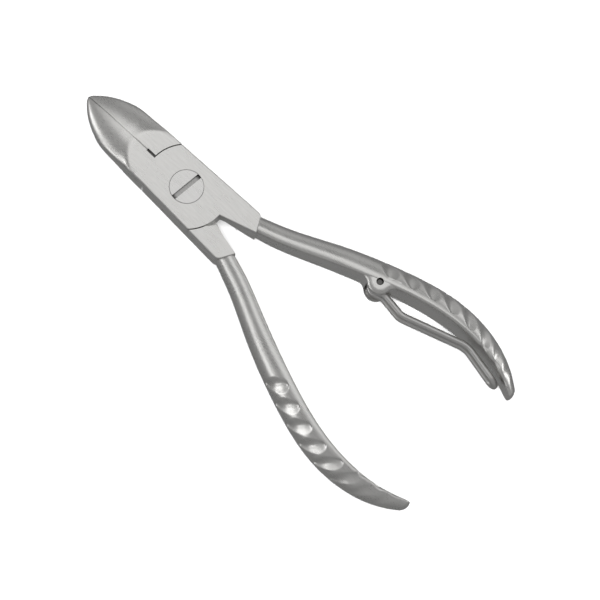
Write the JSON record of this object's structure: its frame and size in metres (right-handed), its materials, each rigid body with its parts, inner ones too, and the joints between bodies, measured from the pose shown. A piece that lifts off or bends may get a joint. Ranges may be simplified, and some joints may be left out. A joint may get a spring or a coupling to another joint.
{
  "type": "lap-joint nippers with folding spring",
  "caption": "Slim steel lap-joint nippers: barrel-shaped cutting jaws, slotted pivot screw, bowed fluted handles and a folding wire spring on one of them.",
  "frame": {"origin": "pivot axis where it meets the joint's flat back face", "axes": "+X from the pivot to the jaw tip; +Z along the pivot axis, out of the screw head; +Y to the side of the plain handle"},
  "size_m": [0.1307, 0.0564, 0.0116],
  "materials": {
    "forged_steel": "satin, finely brushed",
    "screw_steel": "satin, ground flush with the lever",
    "pin_steel": "dull, recessed ends",
    "spring_wire": "drawn wire, satin"
  },
  "bodies": {
    "front": {"front_lever": "forged_steel", "spring_pin": "pin_steel"},
    "back": {"back_lever": "forged_steel", "pivot_screw": "screw_steel"},
    "spring": {"spring_arm": "spring_wire"}
  },
  "joints": [
    {"name": "jaw_pivot", "type": "hinge", "parent": "front", "child": "back", "pos_m": [0, 0, 0.004], "axis": [0, 0, -1], "range_deg": [0, 90]},
    {"name": "spring_hinge", "type": "hinge", "parent": "front", "child": "spring", "pos_m": [-0.05188, -0.01649, 0.004], "axis": [0, 0, -1], "range_deg": [0, 72]}
  ]
}
